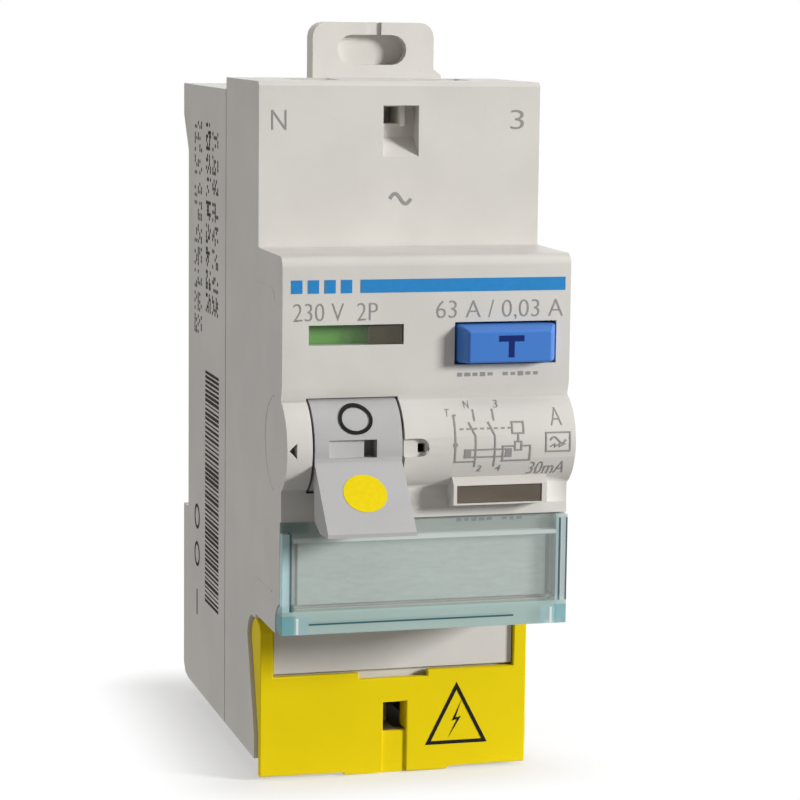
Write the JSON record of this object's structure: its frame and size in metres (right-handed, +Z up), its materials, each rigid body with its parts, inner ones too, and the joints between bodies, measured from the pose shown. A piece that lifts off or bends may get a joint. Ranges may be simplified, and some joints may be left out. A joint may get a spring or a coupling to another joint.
{
  "type": "residual current device",
  "caption": "Rail-mounted two-pole residual current device with a toggle, test button, hinged label flap and hinged terminal cover.",
  "frame": {"origin": "on the plane where the rail's flange seats, midway across the width, level with the rail's centre line", "axes": "+X to the right seen from the front, the front faces -Y, +Z up"},
  "size_m": [0.0356, 0.0704, 0.0935],
  "materials": {
    "shell_grey": "fine satin moulded plastic",
    "toggle_grey": "satin moulded plastic",
    "cover_yellow": "satin moulded plastic",
    "button_blue": "semi-gloss moulded plastic",
    "clear_aqua": "clear moulded plastic with a pale aqua tint",
    "clear_window": "clear moulded plastic",
    "label_paper": "plain card",
    "flag_green": "plain plastic, green and red bands",
    "flag_dark": "plain plastic, dark and yellow bands",
    "inner_white": "plain moulded plastic",
    "inner_black": "plain moulded plastic",
    "spring_steel": "drawn wire or strip",
    "zinc_steel": "zinc plated",
    "copper": "bare copper",
    "board_green": "lacquered board",
    "resistor_tan": "ceramic coat",
    "core_blue": "epoxy coat"
  },
  "bodies": {
    "housing": {"rear_base": "shell_grey", "front_cover": "shell_grey", "housing_rivet_1": "zinc_steel", "housing_rivet_2": "zinc_steel", "housing_rivet_3": "zinc_steel", "housing_rivet_4": "zinc_steel", "toggle_shaft": "zinc_steel", "toggle_spring": "spring_steel", "test_spring": "spring_steel", "label_card": "label_paper", "rail_clip_spring": "spring_steel", "contact_window": "clear_window", "fault_window": "clear_window", "mechanism_frame": "inner_white", "carrier_shaft": "zinc_steel", "carrier_spring_left": "spring_steel", "carrier_spring_right": "spring_steel", "fixed_contact_left": "copper", "fixed_contact_right": "copper", "arc_chute_left": "zinc_steel", "arc_chute_right": "zinc_steel", "upper_cage_left": "zinc_steel", "upper_cage_right": "zinc_steel", "upper_leaf_left": "spring_steel", "upper_leaf_right": "spring_steel", "terminal_bar_left": "copper", "terminal_bar_right": "copper", "transformer_core": "core_blue", "transformer_case": "inner_white", "primary_conductor_left": "copper", "primary_conductor_right": "copper", "trip_relay": "inner_white", "trip_lever_pin": "zinc_steel", "circuit_board": "board_green", "board_capacitor": "core_blue", "test_resistor": "resistor_tan"},
    "toggle_body": {"toggle": "toggle_grey", "crank_pin": "zinc_steel"},
    "link_body": {"drive_link": "zinc_steel"},
    "carrier_body": {"contact_carrier": "inner_black", "lever_pin": "zinc_steel", "moving_arm_left": "copper", "moving_arm_right": "copper"},
    "contact_flag_body": {"contact_flag": "flag_green"},
    "test_button_body": {"test_button": "button_blue"},
    "test_leaf_body": {"test_contact_leaf": "copper"},
    "label_flap_body": {"label_flap": "clear_aqua"},
    "terminal_cover_body": {"terminal_cover": "cover_yellow"},
    "rail_clip_body": {"rail_clip": "shell_grey"},
    "screw_left_body": {"terminal_screw_left": "zinc_steel"},
    "screw_right_body": {"terminal_screw_right": "zinc_steel"},
    "cage_left_body": {"terminal_cage_left": "zinc_steel"},
    "cage_right_body": {"terminal_cage_right": "zinc_steel"},
    "plunger_body": {"relay_plunger": "zinc_steel"},
    "trip_lever_body": {"trip_lever": "inner_black"},
    "fault_flag_body": {"fault_flag": "flag_dark"}
  },
  "joints": [
    {"name": "toggle_turn", "type": "hinge", "parent": "housing", "child": "toggle_body", "pos_m": [0, -0.0547, 0], "axis": [-1, 0, 0], "range_deg": [0, 72]},
    {"name": "drive_link_turn", "type": "hinge", "parent": "toggle_body", "child": "link_body", "pos_m": [-0.0091, -0.0521, -0.0006], "axis": [-1, 0, 0], "range_deg": [-82, 0]},
    {"name": "contact_carrier_turn", "type": "hinge", "parent": "housing", "child": "carrier_body", "pos_m": [0, -0.036, 0.002], "axis": [-1, 0, 0], "range_deg": [0, 16.01], "deforming": ["carrier_spring_left", "carrier_spring_right"]},
    {"name": "contact_flag_slide", "type": "slide", "parent": "housing", "child": "contact_flag_body", "axis": [0, 0, -1], "range_m": [0, 0.0029]},
    {"name": "test_press", "type": "slide", "parent": "housing", "child": "test_button_body", "axis": [0, 1, 0], "range_m": [0, 0.002], "stiffness_N_per_m": 60, "springref_m": -0.002, "deforming": ["test_spring"]},
    {"name": "test_leaf_bend", "type": "hinge", "parent": "housing", "child": "test_leaf_body", "pos_m": [0.0097, -0.04655, -0.002], "axis": [-1, 0, 0], "range_deg": [0, 8.4]},
    {"name": "label_flap_turn", "type": "hinge", "parent": "housing", "child": "label_flap_body", "pos_m": [0, -0.0573, -0.0216], "axis": [1, 0, 0], "range_deg": [0, 95]},
    {"name": "terminal_cover_turn", "type": "hinge", "parent": "housing", "child": "terminal_cover_body", "pos_m": [0, -0.042, -0.0264], "axis": [-1, 0, 0], "range_deg": [0, 85]},
    {"name": "rail_clip_slide", "type": "slide", "parent": "housing", "child": "rail_clip_body", "axis": [0, 0, 1], "range_m": [0, 0.0035], "stiffness_N_per_m": 200, "springref_m": -0.004, "deforming": ["rail_clip_spring"]},
    {"name": "terminal_screw_left_turn", "type": "hinge", "parent": "housing", "child": "screw_left_body", "pos_m": [-0.0084, -0.04, -0.0352], "axis": [0, 1, 0], "range_deg": [0, 720]},
    {"name": "terminal_screw_right_turn", "type": "hinge", "parent": "housing", "child": "screw_right_body", "pos_m": [0.0084, -0.04, -0.0352], "axis": [0, 1, 0], "range_deg": [0, 720]},
    {"name": "terminal_cage_left_slide", "type": "slide", "parent": "housing", "child": "cage_left_body", "axis": [0, -1, 0], "range_m": [0, 0.002]},
    {"name": "terminal_cage_right_slide", "type": "slide", "parent": "housing", "child": "cage_right_body", "axis": [0, -1, 0], "range_m": [0, 0.002]},
    {"name": "relay_plunger_slide", "type": "slide", "parent": "housing", "child": "plunger_body", "axis": [0, 0, 1], "range_m": [0, 0.002]},
    {"name": "trip_lever_turn", "type": "hinge", "parent": "housing", "child": "trip_lever_body", "pos_m": [0.012, -0.028, -0.013], "axis": [1, 0, 0], "range_deg": [0, 6.4]},
    {"name": "fault_flag_slide", "type": "slide", "parent": "housing", "child": "fault_flag_body", "axis": [0, 0, -1], "range_m": [0, 0.0023]}
  ],
  "couplings": [
    {"joint": "drive_link_turn", "follows": "toggle_turn", "ratio": -1.1347},
    {"joint": "contact_carrier_turn", "follows": "toggle_turn", "ratio": 0.2222},
    {"joint": "contact_flag_slide", "follows": "toggle_turn", "m_per_rad": 0.0023},
    {"joint": "test_leaf_bend", "follows": "test_press", "rad_per_m": 71.9},
    {"joint": "terminal_screw_left_turn", "follows": "terminal_cage_left_slide", "rad_per_m": 6283},
    {"joint": "terminal_screw_right_turn", "follows": "terminal_cage_right_slide", "rad_per_m": 6283},
    {"joint": "trip_lever_turn", "follows": "relay_plunger_slide", "rad_per_m": 55.5},
    {"joint": "fault_flag_slide", "follows": "relay_plunger_slide", "ratio": 1.14}
  ]
}
